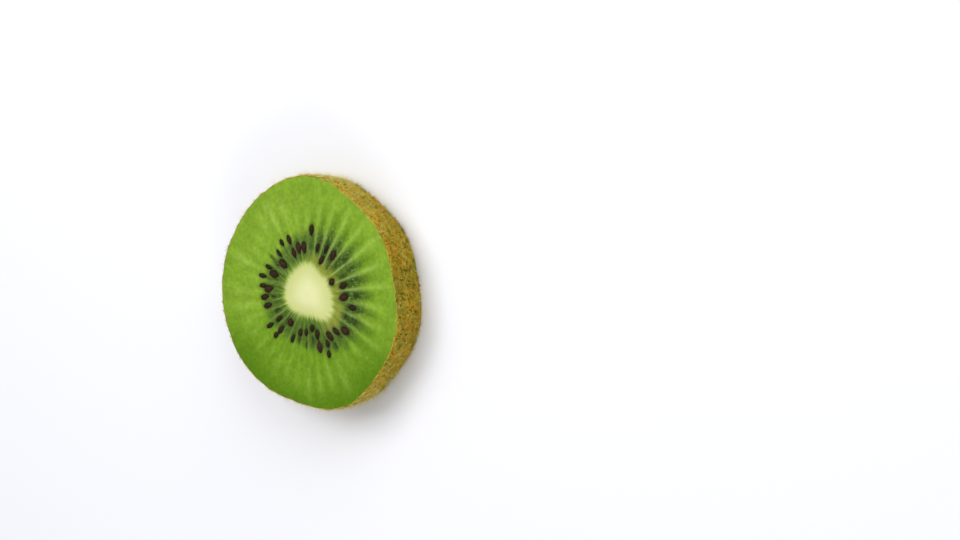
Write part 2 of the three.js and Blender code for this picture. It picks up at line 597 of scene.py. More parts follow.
class FleshShader(Shader):
    """The flesh's nodes, with the grains that its layers share."""

    def __init__(self, finish: FleshFinish) -> None:
        """Start the material with its grains.

        Args:
            finish: The colours and the moisture.
        """
        super().__init__("flesh")
        self.finish = finish
        self.place = self.position()
        self.fibre = self.attribute("fibre", "Vector")
        self.fine = self.noise(self.fibre, 1.7, 3.0, 0.6)
        self.mottle = self.noise(self.place, 1200.0, 3.0, 0.6)
        self.grain = self.math("MULTIPLY", self.math("ADD", self.fine, self.mottle), 0.5)
        self.strand = self.noise(self.attribute("strand", "Vector"), 1.0, 2.0, 0.6)

    def build(self) -> bpy.types.Material:
        """Lay the colours from the deepest layer to the topmost.

        Returns:
            The material.
        """
        colour = self._core(self._chambers(self._outer()))
        # Seeds under the surface show dark; round the seeds on the surface the dark is painted shadow
        speckled = self.span(self.noise(self.place, 2400.0, 2.0), 0.38, 0.62, 1.0, 0.55)
        sunk_seeds_and_shadow = self.math("MULTIPLY", self.attribute("sunk_seeds_and_shadow"), speckled)
        self._surface(self.mix(sunk_seeds_and_shadow, colour, self.finish.sunk_seeds_and_shadow))
        return self.material

    def _lay(self, colour: Socket, name: str, grain: Socket, low: float) -> Socket:
        """Lay a mask's own colour over another, thinned to a low share where the grain is bright."""
        share = self.math("MULTIPLY", self.attribute(name), self.span(grain, 0.40, 0.60, 1.0, low))
        return self.mix(share, colour, getattr(self.finish, name))

    def _outer(self) -> Socket:
        """Colour the outer flesh: paler on one side (partly painted light), clouded, darker at the
        rim (partly painted shade), with pale rays and painted glints.

        Returns:
            The colour.
        """
        cloud = self.span(self.noise(self.place, 180.0, 3.0), 0.3, 0.7, -0.2, 0.2)
        # Paler towards one side: partly the flesh's own tone, partly painted light
        side = self.math("ADD", self.attribute("bright"), cloud, clamp=True)
        colour = self.mix(side, self.finish.deep, self.finish.light)
        colour = self.tone(colour, self.span(self.noise(self.fibre, 0.9, 3.0), 0.3, 0.7, 0.90, 1.10))
        # Darker towards the skin, partly as painted shade on the deep side
        colour = self.mix(self.attribute("shade"), colour, self.finish.shade)
        colour = self._lay(colour, "streak", self.fine, 0.6)
        colour = self._lay(colour, "ray", self.fine, 0.7)
        # Scattered painted glints of the moist surface
        glints = self.span(self.cells(self.place, 650.0), 0.03, 0.19, 0.4, 0.0)
        sparse = self.span(self.noise(self.place, 300.0), 0.46, 0.60)
        colour = self.mix(self.math("MULTIPLY", glints, sparse), colour, self.finish.glint)
        return self.tone(colour, self.span(self.mottle, 0.35, 0.65, 0.91, 1.09))

    def _chambers(self, colour: Socket) -> Socket:
        """Lay the dark band over the flesh, then its threads, pulp, olive zone, walls and painted
        glints of the moist pulp.

        Args:
            colour: The flesh's colour.

        Returns:
            The new colour.
        """
        colour = self._lay(colour, "band", self.grain, 0.7)
        thread = self.attribute("thread")
        pale = self.math("MULTIPLY", thread, self.span(self.strand, 0.50, 0.64, 0.0, 0.75))
        colour = self.mix(pale, colour, self.finish.thread)
        dark = self.math("MULTIPLY", thread, self.span(self.strand, 0.36, 0.48, 0.45, 0.0))
        colour = self.mix(dark, colour, self.finish.pulp)
        colour = self._lay(colour, "pulp", self.grain, 0.25)
        colour = self._lay(colour, "olive", self.fine, 0.7)
        colour = self._lay(colour, "wall", self.fine, 0.75)
        # Painted glints of the moist pulp in the chambers' outer ends
        glints = self.span(self.cells(self.fibre, 2.6), 0.05, 0.36, 0.6, 0.0)
        sparse = self.math("MULTIPLY", glints, self.span(self.grain, 0.41, 0.53))
        wet_glint = self.math("MULTIPLY", self.attribute("wet_glint"), sparse)
        return self.mix(wet_glint, colour, self.finish.glint)

    def _core(self, colour: Socket) -> Socket:
        """Lay the cream core over the flesh, with a border of fine threads.

        Args:
            colour: The flesh's colour.

        Returns:
            The new colour.
        """
        threads = self.span(self.strand, 0.3, 0.7, -0.14, 0.14)
        ragged = self.math("ADD", self.attribute("core"), threads)
        cream = self.mix(self.attribute("heart"), self.finish.core_outer, self.finish.core)
        return self.mix(self.span(ragged, 0.14, 0.86), colour, cream)

    def _surface(self, colour: Socket) -> None:
        """Give the surface its colour, its moisture, its depth and its fine grain.

        Args:
            colour: The colour.
        """
        normal = self.bump(self.fine, 0.05 * MM)
        normal = self.bump(self.noise(self.place, 2600.0, 2.0), 0.04 * MM, normal)
        wettest, driest = self.finish.roughness - 0.12, self.finish.roughness + 0.1
        self.set(
            Base_Color=colour,
            Roughness=self.span(self.noise(self.place, 600.0), 0.3, 0.7, wettest, driest),
            Normal=normal,
            Specular_IOR_Level=self.finish.specular,
            Subsurface_Weight=self.finish.subsurface,
            Subsurface_Radius=self.finish.subsurface_radius,
            Subsurface_Scale=self.finish.subsurface_scale,
        )


@dataclass(frozen=True)
class SkinFinish:
    """Thin leathery skin: golden tan, mottled with olive, orange brown and dark pits."""

    tan: Colour = (0.400, 0.300, 0.018)
    olive: Colour = (0.190, 0.212, 0.013)
    orange: Colour = (0.460, 0.190, 0.012)
    dark: Colour = (0.045, 0.045, 0.006)
    lip: Colour = (0.500, 0.390, 0.080)
    lip_brown: Colour = (0.220, 0.150, 0.022)
    roughness: float = 0.7
    specular: float = 0.08

    def material(self) -> bpy.types.Material:
        """Build the material.

        Returns:
            The material.
        """
        shader = Shader("skin")
        place = shader.position()
        wide = shader.noise(place, 220.0, 3.0, 0.6)
        specks = shader.noise(place, 1900.0, 3.0, 0.6)
        flakes = shader.noise(place, 1000.0, 2.0)
        colour = shader.mix(shader.span(wide, 0.38, 0.58), self.olive, self.tan)
        colour = shader.mix(shader.span(flakes, 0.52, 0.62, 0.0, 0.8), colour, self.orange)
        colour = shader.mix(shader.span(specks, 0.33, 0.45, 0.8, 0.0), colour, self.dark)
        colour = shader.mix(shader.attribute("pit"), colour, self.dark)
        edge = shader.mix(shader.span(flakes, 0.42, 0.58), self.lip_brown, self.lip)
        colour = shader.mix(shader.attribute("lip"), colour, edge)
        shader.set(
            Base_Color=colour,
            Roughness=self.roughness,
            Normal=shader.bump(specks, 0.16 * MM),
            Specular_IOR_Level=self.specular,
        )
        return shader.material


@dataclass(frozen=True)
class HairFinish:
    """Short felted hairs: olive brown, orange, gold and bleached ones."""

    colours: tuple[Colour, ...] = (
        (0.070, 0.070, 0.009),
        (0.165, 0.190, 0.013),
        (0.540, 0.205, 0.012),
        (0.515, 0.420, 0.026),
        (0.600, 0.518, 0.100),
        (0.710, 0.635, 0.215),
    )
    roughness: float = 0.6
    specular: float = 0.06

    def material(self) -> bpy.types.Material:
        """Build the material.

        Returns:
            The material.
        """
        shader = Shader("hair")
        colour = shader.ramp(shader.attribute("tint"), self.colours)
        shader.set(Base_Color=colour, Roughness=self.roughness, Specular_IOR_Level=self.specular)
        return shader.material


@dataclass(frozen=True)
class SeedFinish:
    """Pitted seed coat with a low gloss, maroon brown on top fading to near-black at the edge: partly
    its own colour, partly painted reflection and painted shade.
    """

    # The maroon top and near-black edge are partly the seed's own colour, partly painted reflection
    # and painted shade
    edge: Colour = (0.010, 0.014, 0.003)
    lit_crown: Colour = (0.064, 0.014, 0.014)
    lit_crown_power: float = 1.4
    roughness: float = 0.45
    specular: float = 0.06
    coat: float = 0.01
    coat_roughness: float = 0.2

    def material(self) -> bpy.types.Material:
        """Build the material.

        Returns:
            The material.
        """
        shader = Shader("seed_coat")
        place = shader.position()
        pits = shader.noise(place, 3200.0, 2.0)
        # Maroon towards each seed's top: painted reflection and painted shade over its own colour
        lit_crown = shader.math("POWER", shader.attribute("lit_crown"), self.lit_crown_power)
        lit_crown = shader.math("MULTIPLY", lit_crown, shader.span(pits, 0.35, 0.62, 0.2, 1.0))
        shader.set(
            Base_Color=shader.mix(lit_crown, self.edge, self.lit_crown),
            Roughness=self.roughness,
            Normal=shader.bump(pits, 0.07 * MM),
            Specular_IOR_Level=self.specular,
            Coat_Weight=self.coat,
            Coat_Roughness=self.coat_roughness,
        )
        return shader.material


@dataclass(frozen=True)
class FloorFinish:
    """Plain pale studio floor."""

    colour: Colour = (0.83, 0.835, 0.875)
    roughness: float = 0.55
    specular: float = 0.2

    def material(self) -> bpy.types.Material:
        """Build the material.

        Returns:
            The material.
        """
        shader = Shader("floor")
        shader.set(Base_Color=self.colour, Roughness=self.roughness, Specular_IOR_Level=self.specular)
        return shader.material


# ---------------------------------------------------------------- flesh


@dataclass
class FleshPattern:
    """How strongly each of the flesh's colours shows at points of a cut face, from 0 to 1.

    Each mask is a method without arguments, named after its colour or attribute. The open side is
    the one where the chambers stand wide apart. A width goes from one distance from the axis to
    the next, and a draw has the start of its random numbers and their range.
    """

    form: SliceForm
    seeds: Sequence[Seed]
    sunk: Sequence[Seed]
    distance: np.ndarray
    turn: np.ndarray
    core_radius_mm: float = 6.18
    core_waves_mm: tuple[Wave, ...] = (
        Wave(1, 0.39, -43),
        Wave(2, 0.71, 62),
        Wave(3, 0.56, -16),
        Wave(5, 0.15, 2),
        Wave(6, 0.17, -19),
    )
    band_end_mm: float = 13.95
    end_waves_mm: tuple[Wave, ...] = (
        Wave(1, 1.9, -82),
        Wave(2, 1.0, 88),
        Wave(3, 0.6, -25),
    )
    olive_end_mm: float = 9.7
    olive_wave_mm: Wave = Wave(2, 0.8, 226)
    open_side_degrees: float = -78
    olive_side_degrees: float = -86
    # Bearing of the paler side, which is partly painted light
    bright_side_degrees: float = -12
    left_side_degrees: float = 80
    ray_side_degrees: float = 20
    wall_widths_mm: tuple[Sequence[float], ...] = ((7, 10, 13, 16), (0.15, 0.2, 0.27, 0.45))
    ray_widths_mm: tuple[Sequence[float], ...] = ((12, 15, 18, 22), (0.25, 0.42, 0.7, 0.95))
    wall_draw: tuple[int, float, float] = (28888, 0.35, 1.0)
    ray_draw: tuple[int, float, float] = (53952, 0.4, 1.0)
    chamber_draw: tuple[int, float, float] = (53311, 0.35, 1.0)
    stray_draw: tuple[int, float, float] = (7, -0.14, 0.06)
    sunk_stain: tuple[float, float] = (0.9, 0.45)
    # Strength and size of the painted shadow round a seed on the surface
    seed_shadow: tuple[float, float] = (0.85, 0.58)
    out_mm: np.ndarray = field(init=False)
    bearing: np.ndarray = field(init=False)
    edge_mm: np.ndarray = field(init=False)
    open_side: np.ndarray = field(init=False)
    chamber: np.ndarray = field(init=False)
    nearest: np.ndarray = field(init=False)
    across: np.ndarray = field(init=False)
    walls: np.ndarray = field(init=False)
    rays: np.ndarray = field(init=False)
    strengths: np.ndarray = field(init=False)
    strays: np.ndarray = field(init=False)

    def __post_init__(self) -> None:
        """Place the points among the chambers, and draw how each chamber and wall shows."""
        self.out_mm = self.distance / MM
        self.bearing = self.form.bearing(self.turn)
        self.edge_mm = self.core_radius_mm + self._crests(self.core_waves_mm)
        self.open_side = self._towards(self.open_side_degrees, 0.2, 0.8)
        self.chamber = self.form.chamber(self.turn)
        self.nearest = np.round(self.chamber).astype(int)
        self.across = 2.0 * np.abs(self.chamber - self.nearest)
        self.walls = self._draw(*self.wall_draw)
        self.rays = self._draw(*self.ray_draw)
        self.strengths = self._draw(*self.chamber_draw)
        self.strays = self._draw(*self.stray_draw)

    def _crests(self, waves: Sequence[Wave]) -> np.ndarray:
        """Add waves up at each point's bearing."""
        return sum(wave.crest(self.bearing) for wave in waves)

    def _draw(self, start: int, low: float, high: float) -> np.ndarray:
        """Draw a number for each chamber."""
        return np.random.default_rng(start).uniform(low, high, self.form.chambers)

    def _towards(self, degrees: float, low: float, high: float) -> np.ndarray:
        """Return 1 on the side of the fruit at a bearing, falling to 0 on the other side."""
        return smooth_step(np.cos(self.bearing - math.radians(degrees)), low, high)

    def _sided(self, closed: float, opened: float) -> np.ndarray:
        """Go from one number on the closed side to another on the open side."""
        return closed + (opened - closed) * self.open_side

    def _between(self, width_mm: np.ndarray, strengths: np.ndarray) -> np.ndarray:
        """Draw a soft line along each wall between two chambers.

        Args:
            width_mm: The line's width at each point.
            strengths: How strong each wall's line is.

        Returns:
            How strongly the lines show at each point.
        """
        shown = np.zeros_like(self.distance)
        for side in (0, -1):
            wall = (self.nearest + side) % self.form.chambers
            middle = self.nearest + side + 0.5 + self.strays[wall]
            gap = np.abs(middle - self.chamber) * self.form.pitch * self.out_mm
            breadth = width_mm * (0.75 + 2.5 * np.abs(self.strays[wall]))
            shown = np.maximum(shown, strengths[wall] * np.exp(-((gap / breadth) ** 2)))
        return shown

    def _inside(self, low: float, high: float) -> np.ndarray:
        """Return each chamber's strength in its middle, falling to 0 towards its walls."""
        strength = self.strengths[self.nearest % self.form.chambers]
        return strength * (1.0 - smooth_step(self.across, low, high))

    def _band_end(self) -> np.ndarray:
        """Return the distance in mm at which the dark pulp ends, in points on the open side."""
        tip = self.band_end_mm + self._crests(self.end_waves_mm) + self._sided(0.0, 1.5)
        return tip - self._sided(0.5, 3.4) * self.across**1.3

    def core(self) -> np.ndarray:
        """Show the core, with its soft edge."""
        return 1.0 - smooth_step(self.out_mm, self.edge_mm - 1.6, self.edge_mm + 1.9)

    def heart(self) -> np.ndarray:
        """Show the middle of the core."""
        return 1.0 - smooth_step(self.out_mm, 1.0, self.edge_mm - 0.4)

    def bright(self) -> np.ndarray:
        """Show the paler side of the fruit: partly the flesh's own paler tone, partly painted light
        where light falls most.
        """
        return self._towards(self.bright_side_degrees, -0.75, -0.1)

    def shade(self) -> np.ndarray:
        """Show the darker flesh towards the skin: partly its own darker rim, and most of all on the
        deep side painted shade.

        Returns:
            The mask.
        """
        left = 0.15 * self._towards(self.left_side_degrees, 0.0, 0.8)
        # On the deep side this darkening is painted shade.
        wide = smooth_step(self.out_mm, 17, 25) * np.maximum(left, 1.0 - self.bright())
        return np.maximum(wide, 0.18 * smooth_step(self.out_mm, 20, 24.5))

    def wall(self) -> np.ndarray:
        """Show the whitish walls between the chambers.

        Returns:
            The mask.
        """
        width = np.interp(self.out_mm, *self.wall_widths_mm)
        end = self._sided(15.0, 17.0)
        shown = window(self.out_mm, self.edge_mm + 0.6, self.edge_mm + 2.8, end - 4.7, end)
        return self._between(width, self.walls) * shown * self._sided(0.27, 1.0)

    def ray(self) -> np.ndarray:
        """Show the pale rays outside the chambers.

        Returns:
            The mask.
        """
        width = np.interp(self.out_mm, *self.ray_widths_mm)
        wall = np.floor(self.chamber).astype(int) % self.form.chambers
        end = self._sided(22.0, 23.5) + 30.0 * self.strays[wall]
        far = self._towards(self.ray_side_degrees, -0.3, 0.5)
        shown = window(self.out_mm, 13, 19, end - 4.0, end + 2.5)
        shown *= 0.5 + 0.5 * np.maximum(self.open_side, far)
        return self._between(width * self._sided(1.5, 0.75), self.rays) * shown

    def streak(self) -> np.ndarray:
        """Show the deeper green that carries each chamber outwards."""
        shown = window(self.out_mm, 12.5, 17, 17, 23)
        return shown * self._inside(0.2, 1.1) * self._sided(0.3, 0.78)

    def band(self) -> np.ndarray:
        """Show the dark band round the core."""
        end, soft = self._band_end(), self._sided(1.4, 2.9)
        return window(self.out_mm, self.edge_mm - 0.3, self.edge_mm + 1.8, end - soft, end + soft)

    def pulp(self) -> np.ndarray:
        """Show the darkest pulp, in the chambers.

        Returns:
            The mask.
        """
        end = self._band_end()
        shown = window(self.out_mm, self.edge_mm + 0.6, self.edge_mm + 3.0, end - 3.4, end + 0.2)
        return shown * self._inside(0.3, 1.0) * self._sided(0.4, 0.9)

    def thread(self) -> np.ndarray:
        """Show the fine threads that leave the core."""
        full = self.edge_mm + 1.0
        return window(self.out_mm, full - 1.5, full, full, full + 4.0) * self._sided(0.95, 0.5)

    def wet_glint(self) -> np.ndarray:
        """Show the painted glints of the moist pulp in the chambers' outer ends."""
        return window(self.out_mm, 9.5, 12, 15.5, 18) * self._sided(0.2, 1.0)

    def olive(self) -> np.ndarray:
        """Show the yellow-green zone beside the core.

        Returns:
            The mask.
        """
        end = self.olive_end_mm + self.olive_wave_mm.crest(self.bearing)
        shown = window(self.out_mm, self.edge_mm - 0.6, self.edge_mm + 0.6, end - 1.3, end + 1.0)
        return 0.9 * shown * self._towards(self.olive_side_degrees, 0.05, 0.6)

    def sunk_seeds_and_shadow(self) -> np.ndarray:
        """Show the seeds under the surface, and the painted shadow round the seeds on it.

        Returns:
            The mask.
        """
        shown = np.zeros_like(self.distance)
        for seeds, (strength, size) in ((self.sunk, self.sunk_stain), (self.seeds, self.seed_shadow)):
            for seed in seeds:
                length, width, _ = seed.size.value
                gap = (self.turn - seed.turn(self.form) + math.pi) % (2.0 * math.pi) - math.pi
                lean = math.radians(seed.degrees)
                out, side = self.distance - seed.distance, gap * self.distance
                along = (out * math.cos(lean) + side * math.sin(lean)) / (length * size)
                across = (side * math.cos(lean) - out * math.sin(lean)) / (width * size)
                shown = np.maximum(shown, strength * np.exp(-((along**2 + across**2) ** 1.5)))
        return shown


@dataclass
class Flesh:
    """The flesh of the slice: a spun disc, pressed into the fruit's outline and relief."""

    form: SliceForm
    finish: FleshFinish
    skin_overlap: float = 0.12 * MM
    steps_per_chamber: int = 20
    wall_bands: int = 4
    fibre: tuple[float, float] = (14.0, 2.8 * MM)
    strand: tuple[float, float] = (27.0, 3.6 * MM)
    grain: float = 0.02 * MM
    grain_scale: float = 1100.0
    zones: tuple[float, float] = (0.2, 0.68)
    lower_rings: tuple[int, int, int] = (4, 22, 10)
    upper_rings: tuple[int, int, int] = (8, 56, 32)
    masks: tuple[str, ...] = (
        "core", "heart", "bright", "shade", "wall", "ray", "streak",
        "band", "pulp", "thread", "wet_glint", "olive", "sunk_seeds_and_shadow",
    )

    def _shares(self, rings: tuple[int, int, int]) -> np.ndarray:
        """Share out the rings of a face.

        Args:
            rings: Number of rings in the core, the chambers and the flesh outside.

        Returns:
            Each ring's reach, as a share of the way from the axis to the skin.
        """
        core, chambers, outside = rings
        inner = np.linspace(0.0, self.zones[0], core, endpoint=False)
        middle = np.linspace(*self.zones, chambers, endpoint=False)
        return np.concatenate([inner, middle, np.linspace(self.zones[1], 1.0, outside)])

    def _spun(self) -> bmesh.types.BMesh:
        """Spin the disc.

        Returns:
            The disc, of radius 1.
        """
        lower = [(share, 0.0) for share in self._shares(self.lower_rings)]
        heights = np.linspace(0.0, self.form.thickness, self.wall_bands + 1)[1:-1]
        wall = [(1.0, height) for height in heights]
        upper = [(share, self.form.thickness) for share in self._shares(self.upper_rings)[::-1]]
        steps = self.form.chambers * self.steps_per_chamber
        return spin_profile(lower + wall + upper, steps, False)

    def build(self) -> bpy.types.Object:
        """Build the piece.

        Returns:
            The flesh, dressed and placed.
        """
        piece = new_piece("flesh_body", self._spun())
        disc = points_of(piece.data)
        share = np.linalg.norm(disc[:, :2], axis=1)
        turn = np.arctan2(disc[:, 1], disc[:, 0])
        bearing = self.form.bearing(turn)
        distance = share * (self.form.edge_radius(bearing) - self.skin_overlap)
        height = disc[:, 2]
        upper = height > self.form.thickness - TOUCH
        points = self.form.place(distance, bearing, height)
        grain = self.grain * noise_at(points, self.grain_scale)
        points[:, 2] += np.where(upper, self.form.relief(distance, turn) + grain, 0.0)
        move_points(piece.data, points)
        self._keep_masks(piece.data, distance, turn, upper)
        piece.data.materials.append(self.finish.material())
        return piece

    def _keep_masks(
        self, mesh: bpy.types.Mesh, distance: np.ndarray, turn: np.ndarray, upper: np.ndarray
    ) -> None:
        """Keep the pattern's masks and the fibres' coordinates as attributes.

        Args:
            mesh: The mesh.
            distance: Distance of each point from the axis.
            turn: Turn of each point.
            upper: Whether each point is on the upper face, which has seeds of its own.
        """
        above = FleshPattern(self.form, UPPER_SEEDS, SUNK_SEEDS, distance, turn)
        below = FleshPattern(self.form, LOWER_SEEDS, (), distance, turn)
        for name in self.masks:
            faces = [getattr(pattern, name)() for pattern in (above, below)]
            store(mesh, name, np.where(upper, *faces))
        bearing = self.form.bearing(turn)
        circle = np.stack([np.cos(bearing), np.sin(bearing)], 1)
        for name, (count, length) in (("fibre", self.fibre), ("strand", self.strand)):
            store(mesh, name, np.concatenate([count * circle, distance[:, None] / length], 1))


# ---------------------------------------------------------------- seeds


@dataclass
class Seeds:
    """The seeds of one cut face, each a pointed egg with its tip towards the axis."""

    form: SliceForm
    face: Face
    finish: SeedFinish
    segments: int = 20
    rings: int = 12
    tip_taper: float = 0.42
    tip_power: float = 1.6
    coats: tuple[float, float] = (0.8, 1.15)
    ripe_width: float = 1.7 * MM
    random_start: int = 5
    sink: float = 0.12 * MM
    lower_middle: float = 0.3 * MM
    lowest: float = -0.01 * MM

    def _egg(self, seed: Seed) -> bmesh.types.BMesh:
        """Model one seed at the origin, its tip towards -X.

        Args:
            seed: The seed.

        Returns:
            Its shape.
        """
        work = bmesh.new()
        bmesh.ops.create_uvsphere(work, u_segments=self.segments, v_segments=self.rings, radius=0.5)
        bmesh.ops.rotate(work, verts=work.verts, matrix=Matrix.Rotation(math.pi / 2, 3, "Y"))
        for vert in work.verts:
            vert.co.yz *= 1.0 - self.tip_taper * max(0.0, -2.0 * vert.co.x) ** self.tip_power
        bmesh.ops.scale(work, verts=work.verts, vec=seed.size.value)
        return work

    def _set_in_face(self, work: bmesh.types.BMesh, seed: Seed) -> None:
        """Turn a seed to its bearing and sink it in its face.

        Args:
            work: The seed's shape.
            seed: The seed.
        """
        turn = seed.turn(self.form)
        bearing = float(self.form.bearing(turn))
        lean = math.radians(seed.degrees)
        if self.face is Face.UPPER:
            height = self.form.thickness + float(self.form.relief(seed.distance, turn)) - self.sink
        else:
            height = self.lower_middle
        spot = self.form.place(seed.distance, bearing, height)
        bmesh.ops.rotate(work, verts=work.verts, matrix=Matrix.Rotation(bearing + lean, 3, "Z"))
        bmesh.ops.translate(work, verts=work.verts, vec=Vector(spot))
        if self.face is Face.LOWER:
            for vert in work.verts:
                vert.co.z = max(vert.co.z, self.lowest)

    def build(self) -> bpy.types.Object:
        """Build the piece.

        Returns:
            All the seeds of the face as one piece.
        """
        joined = bmesh.new()
        lit_crowns = []
        seeds = UPPER_SEEDS if self.face is Face.UPPER else LOWER_SEEDS
        coats = np.random.default_rng(self.random_start).uniform(*self.coats, len(seeds))
        for seed, coat in zip(seeds, coats):
            work = self._egg(seed)
            length, width, _ = seed.size.value
            # Each seed is painted maroon towards its top, more on big seeds: partly its own colour,
            # partly painted reflection
            ripe = min(1.0, (width / self.ripe_width) ** 2)
            for vert in work.verts:
                out = min(1.0, math.hypot(2 * vert.co.x / length, 2 * vert.co.y / width))
                lit_crowns.append(coat * ripe * (1.0 - out**2))
            self._set_in_face(work, seed)
            one = bpy.data.meshes.new("seed")
            work.to_mesh(one)
            work.free()
            joined.from_mesh(one)
            bpy.data.meshes.remove(one)
        piece = new_piece(f"seeds_{self.face.value}", joined)
        store(piece.data, "lit_crown", np.array(lit_crowns))
        piece.data.materials.append(self.finish.material())
        return piece


# ---------------------------------------------------------------- skin


@dataclass(frozen=True)
class Pits:
    """Small dark pits scattered over the skin, where no hair grows."""

    form: SliceForm
    count: int = 75
    radii: tuple[float, float] = (0.2 * MM, 0.42 * MM)
    margin: float = 0.8 * MM
    random_start: int = 21

    def depth(self, bearing: np.ndarray, height: np.ndarray) -> np.ndarray:
        """Return 1 in the middle of a pit, falling to 0 beyond its edge.

        Args:
            bearing: Bearing of each point of the skin.
            height: Height of each point.

        Returns:
            How deep each point lies in a pit, from 0 to 1.
        """
        draw = np.random.default_rng(self.random_start)
        middles = draw.uniform(0.0, 2.0 * math.pi, self.count)
        heights = draw.uniform(self.margin, self.form.rim_height - self.margin, self.count)
        shown = np.zeros_like(bearing)
        for middle, level, radius in zip(middles, heights, draw.uniform(*self.radii, self.count)):
            gap = ((bearing - middle + math.pi) % (2.0 * math.pi) - math.pi) * self.form.face_radius
            away = np.hypot(gap, height - level) / radius
            shown = np.maximum(shown, np.exp(-(away**4)))
        return shown


@dataclass
class Skin:
    """The band of skin round the slice, a thin shell cut off flat above and below."""

    form: SliceForm
    finish: SkinFinish
    pits: Pits
    thickness: float = 0.18 * MM
    lip_round: float = 0.06 * MM
    lip_rise: float = 0.02 * MM
    lip_fade: tuple[float, float] = (0.01 * MM, 0.08 * MM)
    bands: int = 44
    steps: int = 1300
    lumps: tuple[tuple[float, float], ...] = ((0.06 * MM, 650.0), (0.03 * MM, 1900.0))
    pit_depth: float = 0.12 * MM

    def _spun(self) -> bmesh.types.BMesh:
        """Spin the shell's section.

        Returns:
            The shell, round a plain circle of the face's radius.
        """
        outside = self.form.face_radius
        top = self.form.rim_height + self.lip_rise
        levels = np.linspace(self.lip_round, top - self.lip_round, self.bands)
        outer = [(outside, height) for height in levels]
        upper = [(outside - self.lip_round, top), (outside - self.thickness, top)]
        lower = [(outside - self.thickness, 0.0), (outside - self.lip_round, 0.0)]
        return spin_profile(outer + upper + lower, self.steps, True)

    def build(self) -> bpy.types.Object:
        """Build the piece.

        Returns:
            The band of skin, dressed and placed.
        """
        piece = new_piece("skin_band", self._spun())
        ring = points_of(piece.data)
        bearing = np.arctan2(ring[:, 1], ring[:, 0])
        depth = self.form.face_radius - np.linalg.norm(ring[:, :2], axis=1)
        height = ring[:, 2]
        outside = depth < TOUCH
        pit = np.where(outside, self.pits.depth(bearing, height), 0.0)
        lump = sum(size * noise_at(ring, scale) for size, scale in self.lumps) - self.pit_depth * pit
        distance = self.form.edge_radius(bearing) - depth + np.where(outside, lump, 0.0)
        move_points(piece.data, self.form.place(distance, bearing, height))
        store(piece.data, "lip", smooth_step(depth, *self.lip_fade))
        store(piece.data, "pit", pit)
        piece.data.materials.append(self.finish.material())
        return piece


